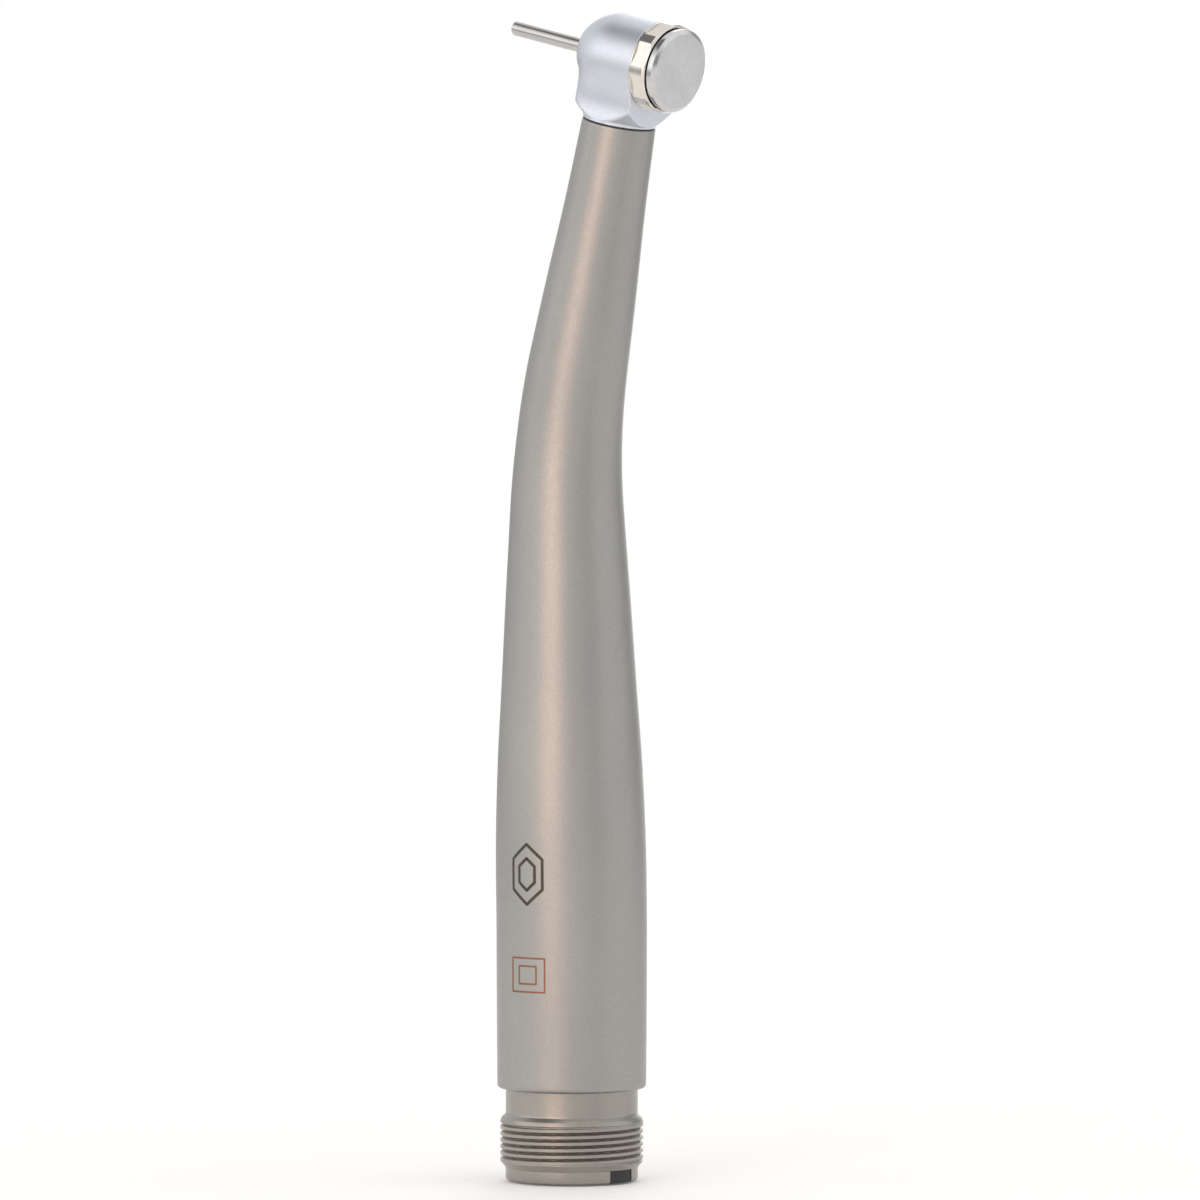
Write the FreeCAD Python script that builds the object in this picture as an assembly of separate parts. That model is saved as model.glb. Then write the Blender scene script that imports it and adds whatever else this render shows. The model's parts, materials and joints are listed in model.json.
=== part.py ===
import FreeCAD, Part
import math
import os

# Dental air-turbine handpiece, millimetres. The origin is the centre of the connector's rear end, +Z runs
# up the handle to the head, the neck bends towards +X, the push button faces +X and the bar points to -X.

V = FreeCAD.Vector
X_AXIS = V(1, 0, 0)
Y_AXIS = V(0, 1, 0)
Z_AXIS = V(0, 0, 1)
ORIGIN = V(0, 0, 0)

# Driving dimensions: frame of the handle, neck and head
HEAD_X = 7.88                # the centre of the head, on the bar's axis
HEAD_Z = 119.48
NECK_X = 8.08                # the neck's axis passes this point at the height of the head's centre
NECK_LEAN = 12.4             # degrees from the handle's axis, towards +X
BAR_LEAN = 11.1              # the bar's axis is tipped this many degrees from the X axis
HANDLE_LEAN = 0.85           # the handle drifts back by this many degrees above LEAN_START
LEAN_START = 28.0
BEND_TANGENT = 8.5           # length of each tangent of the bend

# Sheath
SHEATH_BOTTOM = 9.8
COLLAR_BOTTOM = 6.92         # distance of the head collar's lower face below the bar's axis
SEAL_GAP = 0.15
# Outer radii at even steps of height, from the rear end to the head
SHEATH_RADII = [7.93, 7.99, 8.02, 8.0, 7.72, 7.2, 6.7, 6.16, 5.66, 5.3, 4.84, 4.3, 3.93]
SHEATH_SECTIONS = 37
SHEATH_WALL_BOTTOM = 0.7
SHEATH_WALL_TOP = 0.5
SHEATH_EDGE = 0.35

# Rear connector
RIM_R = 7.05
RIM_HEIGHT = 1.3
THREAD_R = 7.62
THREAD_DEPTH = 0.42
THREAD_PITCH = 0.69
THREAD_START = 2.1
THREAD_END = 6.6
GROOVE_R = 7.04
GROOVE_START = 7.2
SLEEVE_R = 7.18
SLEEVE_TOP = 17.0
SLEEVE_GROOVE = (6.6, 12.6, 13.5)      # bottom radius, low and high edge of the o-ring's groove
SHEATH_O_RING = (6.93, 0.29)           # radius of its centre line and of its section
RIM_CHAMFER = 0.25
CONNECTOR_BORE_R = 5.65
KEY_ANGLE = 29.0             # degrees that the key notch spans, centred on +X
KEY_HEIGHT = 1.35
GASKET_R = 5.6
GASKET_TOP = 1.25
BLOCK_R = 5.58
BLOCK_BOTTOM = 1.3
BLOCK_TOP = 14.0
SOCKET_START = 8.0           # the tubes sit in the block above this height
NUT_TOP = 16.0
NUT_HOLE_R = 4.55
NUT_SLOT = (1.2, 0.8)        # width and depth of the slots for its key
FIT_GAP = 0.01               # radial clearance of each tube in its socket

# Ports: name -> place on the block, radius of the hose-side bore, outer and inner radius of its tube
PORTS = {
    "drive_air": ((-2.75, 0.0), 1.2, 1.0, 0.8),
    "exhaust": ((2.35, 0.0), 1.7, 0.0, 0.0),
    "water": ((0.0, -3.3), 0.8, 0.6, 0.4),
    "chip_air": ((0.0, 3.3), 0.8, 0.6, 0.4),
}
# Where each tube enters the head's stub: distance from the neck's axis towards +X, and along Y
TUBE_ENDS = {"drive_air": (-1.5, 0.0), "water": (1.6, -1.4), "chip_air": (1.6, 1.4)}
TUBE_START_Z = 8.1
TUBE_BEND_Z = 40.0           # the tubes run straight up to here, then lean towards the bend
TUBE_END_T = 11.0            # distance of the tubes' ends below the bar's axis
AIR_PASSAGE_START = 3.0      # the passages in the head's stub start this far below the bar's axis
WATER_PASSAGE_START = 5.2

# Head shell
BARREL_R = 4.79
DOME_CENTRE = 0.3
DOME_LENGTH = 6.38
FRONT_Q = -5.3               # q is measured along the bar's axis, positive towards the button
CAP_Q = 4.1
COLLAR_R = 3.9
COLLAR_TOP = 6.5
STUB_R = 3.4
STUB_END = 14.0
WAIST = ((2.2, 4.2), (4.7, 3.6), (7.0, 4.02))   # each side's arc: distance below the bar's axis, half width
UNDERSIDE_R = 5.0
UNDERSIDE_T = 5.46
UNDERSIDE_ANGLE = 43.8
BAR_HOLE_R = 1.75
BEARING_SEAT_R = 3.24
WASHER_SEAT_R = 2.9
CHAMBER_R = 3.95
CHAMBER_FRONT = -1.3
CAP_THREAD_R = 4.2
CAP_THREAD_START = 1.2
O_RING_GROOVE_R = 3.66
O_RING_GROOVE_WIDTH = 0.7
O_RING_R = 0.21
SPRAY_R = 0.25
SPRAY_DEPTH = 0.55
SPRAY_CIRCLE_R = 2.05

# Ball bearings: 3.175 x 6.35 x 2.38 mm
BEARING_BORE_R = 1.5875
BEARING_R = 3.175
BEARING_WIDTH = 2.38
RACE_SHOULDER = 0.46         # thickness of each race
BALL_R = 0.5
BALL_COUNT = 7
BALL_CLEARANCE = 0.02
CAGE_HALF = 0.85
FRONT_BEARING_Q = -3.9
REAR_BEARING_Q = 1.3
SHIELD_THICKNESS = 0.12

# Rotor and chuck
SPINDLE_R = 1.58
SPINDLE_BORE_R = 1.16
SPINDLE_FRONT = -4.9
SPINDLE_REAR = 3.74
SPINDLE_NOSE = 0.3           # length of the cone at its front end
IMPELLER_R = 3.7
IMPELLER_FRONT = -1.1
IMPELLER_REAR = 0.95
BUCKETS = 10
BUCKET_R = 0.78
BUCKET_CENTRE_R = 3.45
COLLET_R = 1.13
COLLET_BORE_R = 0.82
COLLET_FRONT = -4.8
COLLET_REAR = 1.9
COLLET_SLOT = 0.2
COLLET_SLOT_DEPTH = 4.4
BAR_R = 0.8
BAR_TIP = -16.0
BAR_REAR = 2.95
BAR_CHAMFER = 0.15
CHUCK_SPRING_R = 0.98
CHUCK_WIRE_R = 0.08
PUSHER_R = 1.12
PUSHER_HEAD = 0.3            # thickness of its head
PUSHER_Q = 3.22
PUSHER_PIN_R = 0.75
PUSHER_REAR = 4.04

# Cap ring and push button
RING_REAR = 6.2
RING_FLANGE = 0.22
RING_BEVEL = (0.17, 0.3)     # radial and axial size of the bevel at the ring's rear edge
FLAT_APOTHEM = 4.6
FLAT_COUNT = 8
FLAT_TURN = 26.0 - 180.0     # degrees from the neck's side to the middle of a flat
BUTTON_RECESS_R = 4.56
BUTTON_RECESS_Q = 5.52
BUTTON_R = 4.46
BUTTON_Q = 6.06
BUTTON_TOP = 7.2
BUTTON_BEVEL = (0.45, 0.25)  # radial and axial
STEM_R = 2.5
STEM_Q = 4.35
WEB_Q = 4.75
WEB_HOLE_R = 2.56
CLIP_R = 3.0
CLIP_GROOVE = (2.25, 4.42, 4.66)       # bottom radius, low and high edge
CLIP_MOUTH = 1.0
SPRING_POCKET = (3.3, 4.25, 6.61)      # inner and outer radius, and its top along the bar's axis
BUTTON_WIRE_R = 0.1
SPRING_TURNS = 4

BAR_ROTATION = FreeCAD.Rotation(Y_AXIS, 90.0 + BAR_LEAN)
HEAD = FreeCAD.Placement(V(HEAD_X, 0, HEAD_Z), BAR_ROTATION)
NECK_ROTATION = FreeCAD.Rotation(Y_AXIS, 180.0 + NECK_LEAN)
NECK = FreeCAD.Placement(V(NECK_X, 0, HEAD_Z), NECK_ROTATION)
DEG = math.pi / 180.0


def in_head(shape):
    """Place a shape whose own Z is the bar's axis, towards the button, and whose X points down the neck."""
    placed = shape.copy()
    placed.Placement = HEAD
    return placed


def down_neck(shape):
    """Place a shape whose own Z runs from the bar's axis down the neck."""
    placed = shape.copy()
    placed.Placement = NECK
    return placed


def cylinder(radius, low, high, x=0.0, y=0.0):
    return Part.makeCylinder(radius, high - low, V(x, y, low))


def ring(outer, inner, low, high, x=0.0, y=0.0):
    return cylinder(outer, low, high, x, y).cut(cylinder(inner, low - 1, high + 1, x, y))


def turned(points):
    """A solid of revolution about Z through (radius, height) points joined by straight lines."""
    outline = [V(r, 0, z) for r, z in points]
    face = Part.Face(Part.makePolygon(outline + outline[:1]))
    return face.revolve(ORIGIN, Z_AXIS, 360)


def fused(shapes):
    first, *rest = shapes
    return first.multiFuse(rest).removeSplitter() if rest else first


def spun(shape, count, start=0.0):
    """Copies of a shape at equal angles about Z."""
    copies = []
    for k in range(count):
        copy = shape.copy()
        copy.rotate(ORIGIN, Z_AXIS, start + 360.0 * k / count)
        copies.append(copy)
    return copies


# ---------------------------------------------------------------- sheath

def bend_start():
    """Where the handle's leaning axis leaves for the bend, and the bend's radius."""
    lean, neck = math.tan(HANDLE_LEAN * DEG), math.tan(NECK_LEAN * DEG)
    corner_z = (lean * LEAN_START - NECK_X + neck * HEAD_Z) / (neck + lean)
    corner_x = -lean * (corner_z - LEAN_START)
    x = corner_x + BEND_TANGENT * math.sin(HANDLE_LEAN * DEG)
    z = corner_z - BEND_TANGENT * math.cos(HANDLE_LEAN * DEG)
    return x, z, BEND_TANGENT / math.tan((HANDLE_LEAN + NECK_LEAN) * DEG / 2)


def centreline(z):
    """X of the handle's axis at height z, and its lean there in degrees."""
    start_x, start_z, radius = bend_start()
    centre_x = start_x + radius * math.cos(HANDLE_LEAN * DEG)
    centre_z = start_z + radius * math.sin(HANDLE_LEAN * DEG)
    if z <= LEAN_START:
        return 0.0, 0.0
    if z <= start_z:
        return -math.tan(HANDLE_LEAN * DEG) * (z - LEAN_START), -HANDLE_LEAN
    drop = math.asin((centre_z - z) / radius) / DEG
    if -drop < NECK_LEAN:
        return centre_x - radius * math.cos(drop * DEG), -drop
    return NECK_X - math.tan(NECK_LEAN * DEG) * (HEAD_Z - z), NECK_LEAN


def section(z, radius):
    """A circle of the sheath, square to the handle's axis at height z."""
    x, lean = centreline(z)
    normal = V(math.sin(lean * DEG), 0, math.cos(lean * DEG))
    return Part.Wire(Part.makeCircle(radius, V(x, 0, z), normal))


def sheath_top_z():
    return HEAD_Z - (COLLAR_BOTTOM + SEAL_GAP) * math.cos(NECK_LEAN * DEG)


def sheath_radius(share):
    """The sheath's radius at a share of its height, by a smooth curve through the driving radii."""
    place = share * (len(SHEATH_RADII) - 1)
    k = min(int(place), len(SHEATH_RADII) - 2)
    t = place - k
    b, c = SHEATH_RADII[k], SHEATH_RADII[k + 1]
    a = SHEATH_RADII[k - 1] if k else 2 * b - c
    d = SHEATH_RADII[k + 2] if k + 2 < len(SHEATH_RADII) else 2 * c - b
    bend = a - 2.5 * b + 2 * c - d / 2
    twist = 1.5 * (b - c) + (d - a) / 2
    return b + t * (c - a) / 2 + t ** 2 * bend + t ** 3 * twist


def sheath():
    low, high = SHEATH_BOTTOM, sheath_top_z()
    outer, inner = [], []
    for k in range(SHEATH_SECTIONS):
        share = k / (SHEATH_SECTIONS - 1)
        z = low + share * (high - low)
        radius = sheath_radius(share)
        wall = SHEATH_WALL_BOTTOM + share * (SHEATH_WALL_TOP - SHEATH_WALL_BOTTOM)
        outer.append(section(z, radius))
        inner.append(section(z, radius - wall))
    shell = Part.makeLoft(outer, True).cut(Part.makeLoft(inner, True))
    edge_r = SHEATH_RADII[0] - SHEATH_EDGE
    outside = SHEATH_RADII[0] + 1
    mouth = turned([(outside, low - 1), (outside, low + SHEATH_EDGE),
                    (SHEATH_RADII[0] + 0.05, low + SHEATH_EDGE), (edge_r, low - 0.05), (edge_r, low - 1)])
    return shell.cut(mouth)


# ---------------------------------------------------------------- rear connector

def key_wedge(outer, inner, low, high, angle):
    """A sector of a ring, centred on +X."""
    sector = Part.makeCylinder(outer, high - low, V(0, 0, low), Z_AXIS, angle)
    sector.rotate(ORIGIN, Z_AXIS, -angle / 2)
    return sector.cut(cylinder(inner, low - 1, high + 1))


def thread_points():
    """The thread's ridges as a zigzag of (radius, height) points."""
    points = []
    turns = int((THREAD_END - THREAD_START) / THREAD_PITCH)
    for k in range(turns):
        z = THREAD_START + THREAD_PITCH * k
        points += [(THREAD_R, z + 0.12), (THREAD_R, z + 0.26), (THREAD_R - THREAD_DEPTH, z + 0.5),
                   (THREAD_R - THREAD_DEPTH, z + 0.58)]
    return points


def rear_connector():
    seat_r, seat_low, seat_high = SLEEVE_GROOVE
    outline = [(CONNECTOR_BORE_R, 0), (RIM_R - RIM_CHAMFER, 0), (RIM_R, RIM_CHAMFER), (RIM_R, RIM_HEIGHT),
               (THREAD_R - THREAD_DEPTH, THREAD_START - 0.1)]
    outline += thread_points()
    outline += [(THREAD_R - 0.1, THREAD_END), (GROOVE_R, GROOVE_START), (GROOVE_R, SHEATH_BOTTOM - 0.05),
                (SLEEVE_R, SHEATH_BOTTOM), (SLEEVE_R, seat_low), (seat_r, seat_low), (seat_r, seat_high),
                (SLEEVE_R, seat_high), (SLEEVE_R, SLEEVE_TOP), (CONNECTOR_BORE_R, SLEEVE_TOP)]
    body = turned(outline)
    return body.cut(key_wedge(THREAD_R + 1, CONNECTOR_BORE_R - 1, -1, KEY_HEIGHT, KEY_ANGLE))


def rear_gasket():
    disc = cylinder(GASKET_R, 0, GASKET_TOP)
    tab = key_wedge(RIM_R - 0.08, GASKET_R - 0.5, 0, KEY_HEIGHT - 0.06, KEY_ANGLE - 1.2)
    holes = [cylinder(radius, -1, GASKET_TOP + 1, x, y) for (x, y), radius, _, _ in PORTS.values()]
    return disc.fuse(tab).removeSplitter().cut(Part.makeCompound(holes))


def port_block():
    block = cylinder(BLOCK_R, BLOCK_BOTTOM, BLOCK_TOP)
    for (x, y), radius, tube_r, _ in PORTS.values():
        if tube_r:
            bore = cylinder(radius, 0, SOCKET_START, x, y)
            socket = cylinder(tube_r + FIT_GAP, SOCKET_START - 0.5, BLOCK_TOP + 1, x, y)
            block = block.cut(bore.fuse(socket))
        else:
            block = block.cut(cylinder(radius, 0, BLOCK_TOP + 1, x, y))
    return block


def port_block_nut():
    nut = ring(CONNECTOR_BORE_R - 0.06, NUT_HOLE_R, BLOCK_TOP + 0.02, NUT_TOP)
    width, depth = NUT_SLOT
    reach = CONNECTOR_BORE_R + 1
    slot = Part.makeBox(2 * reach, width, 2 * depth, V(-reach, -width / 2, NUT_TOP - depth))
    return nut.cut(Part.makeCompound(spun(slot, 2, 90.0)))


def sheath_o_ring():
    radius, section_r = SHEATH_O_RING
    middle = (SLEEVE_GROOVE[1] + SLEEVE_GROOVE[2]) / 2
    return Part.makeTorus(radius, section_r, V(0, 0, middle))


def tube(name):
    """A tube from its socket in the port block, straight up the handle, then bent into the head's stub."""
    (x, y), _, outer, inner = PORTS[name]
    end_x, end_y = TUBE_ENDS[name]
    lean = NECK_LEAN * DEG
    down = V(-math.sin(lean), 0, -math.cos(lean))
    across = V(math.cos(lean), 0, -math.sin(lean))
    end = V(NECK_X, 0, HEAD_Z) + down * TUBE_END_T + across * end_x + Y_AXIS * end_y
    start = V(x, y, TUBE_START_Z)
    corner_low = V(x, y, TUBE_BEND_Z)
    corner_z = end.z - (end.x - end_x) / math.tan(lean)
    corner_high = V(end_x, end_y, corner_z)
    route = [start, corner_low, corner_high, end]
    solid = swept(route, outer)
    hollow = swept(route, inner)
    return solid.cut(hollow)


def swept(route, radius):
    """A round bar along straight runs that are joined by tangent arcs."""
    edges = []
    here = route[0]
    for before, corner, after in zip(route, route[1:], route[2:]):
        to_corner, to_after = corner - before, after - corner
        reach = 0.4 * min(to_corner.Length, to_after.Length)
        first = corner - to_corner.normalize() * reach
        last = corner + to_after.normalize() * reach
        half = to_corner.getAngle(to_after) / 2
        inward = (to_after - to_corner).normalize()
        middle = corner + inward * (reach * (1 - math.cos(half)) / math.sin(half))
        edges += [Part.LineSegment(here, first).toShape(), Part.Arc(first, middle, last).toShape()]
        here = last
    edges.append(Part.LineSegment(here, route[-1]).toShape())
    path = Part.Wire(edges)
    profile = Part.Wire(Part.makeCircle(radius, route[0], route[1] - route[0]))
    return path.makePipeShell([profile], True, True)


# ---------------------------------------------------------------- head shell and cap ring

def barrel():
    """The barrel with its domed front, about the bar's axis."""
    quarter = math.asin((DOME_CENTRE - FRONT_Q) / DOME_LENGTH)
    points = []
    steps = 8
    for k in range(steps + 1):
        a = quarter * k / steps
        points.append(V(BARREL_R * math.cos(a), 0, DOME_CENTRE - DOME_LENGTH * math.sin(a)))
    dome = Part.BSplineCurve()
    dome.interpolate(points)
    edges = [dome.toShape(),
             Part.LineSegment(points[-1], V(0, 0, FRONT_Q)).toShape(),
             Part.LineSegment(V(0, 0, FRONT_Q), V(0, 0, CAP_Q)).toShape(),
             Part.LineSegment(V(0, 0, CAP_Q), V(BARREL_R, 0, CAP_Q)).toShape(),
             Part.LineSegment(V(BARREL_R, 0, CAP_Q), points[0]).toShape()]
    return Part.Face(Part.Wire(edges)).revolve(ORIGIN, Z_AXIS, 360)


def neck_block():
    """The body below the barrel: waisted sides, round front, flat end below the cap, conical underside."""
    front_q = -UNDERSIDE_R - 2
    right = [V(down, out, front_q) for down, out in WAIST]
    left = [V(p.x, -p.y, p.z) for p in reversed(right)]
    corners = [V(0, right[0].y, front_q), V(0, -right[0].y, front_q)]
    edges = [Part.LineSegment(corners[0], right[0]).toShape(), Part.Arc(*right).toShape(),
             Part.LineSegment(right[-1], left[0]).toShape(), Part.Arc(*left).toShape(),
             Part.LineSegment(left[-1], corners[1]).toShape(),
             Part.LineSegment(*reversed(corners)).toShape()]
    sides = in_head(Part.Face(Part.Wire(edges)).extrude(V(0, 0, CAP_Q - front_q)))
    spread = 1.5
    cone_top = UNDERSIDE_T - spread / math.tan(UNDERSIDE_ANGLE * DEG)
    cone_end = UNDERSIDE_T + (UNDERSIDE_R - COLLAR_R) / math.tan(UNDERSIDE_ANGLE * DEG)
    wide = UNDERSIDE_R + spread
    outline = [(0, -1), (wide, -1), (wide, cone_top), (COLLAR_R, cone_end), (0, cone_end)]
    underside = down_neck(turned(outline))
    front = down_neck(cylinder(UNDERSIDE_R + 0.02, -2, 9))
    rear = down_neck(Part.makeBox(12, 14, 14, V(-12, -7, -2)))
    return sides.common(underside).common(front.fuse(rear))


def spray_ports():
    """Three blind spray ports in the front face, round the bar."""
    port = cylinder(SPRAY_R, FRONT_Q - 1, FRONT_Q + SPRAY_DEPTH, SPRAY_CIRCLE_R, 0)
    return in_head(Part.makeCompound(spun(port, 3, -60.0)))


def head_shell():
    collar = down_neck(cylinder(COLLAR_R, COLLAR_TOP, COLLAR_BOTTOM))
    stub = down_neck(cylinder(STUB_R, COLLAR_TOP, STUB_END))
    body = fused([in_head(barrel()), neck_block(), collar, stub])
    hollows = [cylinder(BAR_HOLE_R, FRONT_Q - 1, 0),
               cylinder(WASHER_SEAT_R, FRONT_BEARING_Q - 0.35, 0),
               cylinder(BEARING_SEAT_R, FRONT_BEARING_Q - 0.02, 0),
               cylinder(O_RING_GROOVE_R, o_ring_q(FRONT_BEARING_Q) - O_RING_GROOVE_WIDTH / 2,
                        o_ring_q(FRONT_BEARING_Q) + O_RING_GROOVE_WIDTH / 2),
               cylinder(CHAMBER_R, CHAMBER_FRONT, CAP_THREAD_START + 0.1),
               cylinder(CAP_THREAD_R, CAP_THREAD_START, CAP_Q + 1)]
    body = body.cut(in_head(fused(hollows)))
    for name, (across, along) in TUBE_ENDS.items():
        radius = PORTS[name][2] + FIT_GAP
        inner = PORTS[name][3]
        passage_start = AIR_PASSAGE_START if name == "drive_air" else WATER_PASSAGE_START
        body = body.cut(down_neck(cylinder(radius, TUBE_END_T - 0.05, STUB_END + 1, -across, along)))
        body = body.cut(down_neck(cylinder(inner, passage_start, TUBE_END_T, -across, along)))
    return body.cut(spray_ports())


def neck_seal():
    low, high = COLLAR_BOTTOM + FIT_GAP, COLLAR_BOTTOM + SEAL_GAP - FIT_GAP
    return down_neck(ring(COLLAR_R - 0.05, STUB_R + 0.05, low, high))


def o_ring_q(bearing_q):
    return bearing_q + BEARING_WIDTH / 2


def cap_ring():
    """The screwed cap: it holds the rear bearing, guides the button and has eight flats for its spanner."""
    groove = o_ring_q(REAR_BEARING_Q)
    half = O_RING_GROOVE_WIDTH / 2
    across, along = RING_BEVEL
    outline = [(CAP_THREAD_R - 0.02, CAP_THREAD_START + 0.08), (CAP_THREAD_R - 0.02, CAP_Q + 0.01),
               (BARREL_R, CAP_Q + 0.01), (BARREL_R, RING_REAR - along), (BARREL_R - across, RING_REAR),
               (BUTTON_RECESS_R, RING_REAR), (BUTTON_RECESS_R, BUTTON_RECESS_Q),
               (WEB_HOLE_R, BUTTON_RECESS_Q), (WEB_HOLE_R, WEB_Q), (CLIP_R + 0.15, WEB_Q),
               (CLIP_R + 0.15, REAR_BEARING_Q + BEARING_WIDTH),
               (BEARING_SEAT_R, REAR_BEARING_Q + BEARING_WIDTH + 0.02), (BEARING_SEAT_R, groove + half),
               (O_RING_GROOVE_R, groove + half), (O_RING_GROOVE_R, groove - half),
               (BEARING_SEAT_R, groove - half), (BEARING_SEAT_R, CAP_THREAD_START + 0.08)]
    body = turned(outline)
    low = CAP_Q + RING_FLANGE
    chip = Part.makeBox(2, 6, RING_REAR + 1 - low, V(FLAT_APOTHEM, -3, low))
    return in_head(body.cut(Part.makeCompound(spun(chip, FLAT_COUNT, FLAT_TURN))))


def bearing_o_ring(bearing_q):
    centre = BEARING_R + 0.02 + O_RING_R
    return in_head(Part.makeTorus(centre, O_RING_R, V(0, 0, o_ring_q(bearing_q))))


# ---------------------------------------------------------------- bearings

def ball_pitch():
    return (BEARING_BORE_R + BEARING_R) / 2


def ball_track(bearing_q):
    return Part.makeTorus(ball_pitch(), BALL_R + BALL_CLEARANCE, V(0, 0, o_ring_q(bearing_q)))


def inner_race(bearing_q):
    body = ring(BEARING_BORE_R + RACE_SHOULDER, BEARING_BORE_R, bearing_q, bearing_q + BEARING_WIDTH)
    return in_head(body.cut(ball_track(bearing_q)))


def outer_race(bearing_q):
    body = ring(BEARING_R, BEARING_R - RACE_SHOULDER, bearing_q, bearing_q + BEARING_WIDTH)
    return in_head(body.cut(ball_track(bearing_q)))


def balls(bearing_q):
    ball = Part.makeSphere(BALL_R, V(ball_pitch(), 0, o_ring_q(bearing_q)))
    return in_head(Part.makeCompound(spun(ball, BALL_COUNT)))


def cage(bearing_q):
    middle = o_ring_q(bearing_q)
    body = ring(BEARING_R - RACE_SHOULDER - 0.09, BEARING_BORE_R + RACE_SHOULDER + 0.09,
                middle - CAGE_HALF, middle + CAGE_HALF)
    pocket = Part.makeCylinder(BALL_R + 0.03, 4, V(0, 0, middle), X_AXIS)
    return in_head(body.cut(Part.makeCompound(spun(pocket, BALL_COUNT))))


def shield(low):
    """The thin ring that closes a bearing's outer end, just inside its outer race."""
    outer = BEARING_R - RACE_SHOULDER - 0.005
    return in_head(ring(outer, BEARING_BORE_R + RACE_SHOULDER + 0.05, low, low + SHIELD_THICKNESS))


def preload_washer():
    """A cone washer that loads the front bearing through its outer race."""
    low, high, thick = FRONT_BEARING_Q - 0.32, FRONT_BEARING_Q - 0.01, 0.1
    inner, outer = 2.5, WASHER_SEAT_R - 0.04
    outline = [(inner, low), (outer, high - thick), (outer, high), (inner, low + thick)]
    return in_head(turned(outline))


# ---------------------------------------------------------------- rotor and chuck

def spindle():
    body = ring(SPINDLE_R, SPINDLE_BORE_R, SPINDLE_FRONT, SPINDLE_REAR)
    length = SPINDLE_NOSE
    nose = cylinder(SPINDLE_R + 1, SPINDLE_FRONT - 1, SPINDLE_FRONT + length)
    cone = Part.makeCone(SPINDLE_R - 0.8 * length, SPINDLE_R + 0.05, length, V(0, 0, SPINDLE_FRONT))
    return in_head(body.cut(nose.cut(cone)))


def impeller():
    """A wheel with round buckets on its rim and a hub that reaches both inner races."""
    wheel = cylinder(IMPELLER_R, IMPELLER_FRONT, IMPELLER_REAR)
    hub = cylinder(BEARING_BORE_R + 0.4, FRONT_BEARING_Q + BEARING_WIDTH + 0.02, REAR_BEARING_Q - 0.02)
    bucket = cylinder(BUCKET_R, IMPELLER_FRONT - 1, IMPELLER_REAR + 1, BUCKET_CENTRE_R, 0)
    body = wheel.cut(Part.makeCompound(spun(bucket, BUCKETS))).fuse(hub)
    return in_head(body.cut(cylinder(SPINDLE_R + 0.01, -9, 9)))


def chuck_collet():
    """The collet grips the shank with three jaws, which its slots divide at the front."""
    body = ring(COLLET_R, COLLET_BORE_R, COLLET_FRONT, COLLET_REAR)
    slot = Part.makeBox(3, COLLET_SLOT, COLLET_SLOT_DEPTH + 1, V(0, -COLLET_SLOT / 2, COLLET_FRONT - 1))
    return in_head(body.cut(Part.makeCompound(spun(slot, 3))))


def coil(radius, wire_r, low, high, turns):
    """A compression spring as stacked rings, each a turn of its wire, tied by short posts."""
    pitch = (high - low - 2 * wire_r) / (turns - 1)
    rings = [Part.makeTorus(radius, wire_r, V(0, 0, low + wire_r + pitch * k)) for k in range(turns)]
    posts = []
    for k in range(turns - 1):
        angle = math.pi * k
        x, y = radius * math.cos(angle), radius * math.sin(angle)
        posts.append(cylinder(wire_r * 0.8, low + wire_r + pitch * k, low + wire_r + pitch * (k + 1), x, y))
    return fused(rings + posts)


def chuck_spring():
    return in_head(coil(CHUCK_SPRING_R, CHUCK_WIRE_R, COLLET_REAR + 0.02, PUSHER_Q - 0.02, SPRING_TURNS))


def chuck_pusher():
    head = cylinder(PUSHER_R, PUSHER_Q, PUSHER_Q + PUSHER_HEAD)
    body = head.fuse(cylinder(PUSHER_PIN_R, PUSHER_Q, PUSHER_REAR))
    return in_head(body.removeSplitter())


def test_bar():
    c = BAR_CHAMFER
    return in_head(turned([(0, BAR_TIP), (BAR_R - c, BAR_TIP), (BAR_R, BAR_TIP + c), (BAR_R, BAR_REAR - c),
                           (BAR_R - c, BAR_REAR), (0, BAR_REAR)]))


# ---------------------------------------------------------------- push button

def push_button():
    across, along = BUTTON_BEVEL
    groove_r, groove_low, groove_high = CLIP_GROOVE
    pocket_in, pocket_out, pocket_top = SPRING_POCKET
    outline = [(0, STEM_Q), (STEM_R, STEM_Q), (STEM_R, groove_low), (groove_r, groove_low),
               (groove_r, groove_high), (STEM_R, groove_high), (STEM_R, BUTTON_Q), (pocket_in, BUTTON_Q),
               (pocket_in, pocket_top), (pocket_out, pocket_top), (pocket_out, BUTTON_Q),
               (BUTTON_R, BUTTON_Q), (BUTTON_R, BUTTON_TOP - along), (BUTTON_R - across, BUTTON_TOP),
               (0, BUTTON_TOP)]
    return in_head(turned(outline))


def button_clip():
    groove_r, groove_low, groove_high = CLIP_GROOVE
    clip = ring(CLIP_R, groove_r + 0.03, groove_low + 0.02, groove_high - 0.02)
    mouth = Part.makeBox(CLIP_R + 1, CLIP_MOUTH, 1, V(0, -CLIP_MOUTH / 2, groove_low - 0.2))
    return in_head(clip.cut(mouth))


def button_spring():
    pocket_in, pocket_out, pocket_top = SPRING_POCKET
    radius = (pocket_in + pocket_out) / 2
    return in_head(coil(radius, BUTTON_WIRE_R, BUTTON_RECESS_Q + 0.02, pocket_top - 0.02, SPRING_TURNS))


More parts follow.
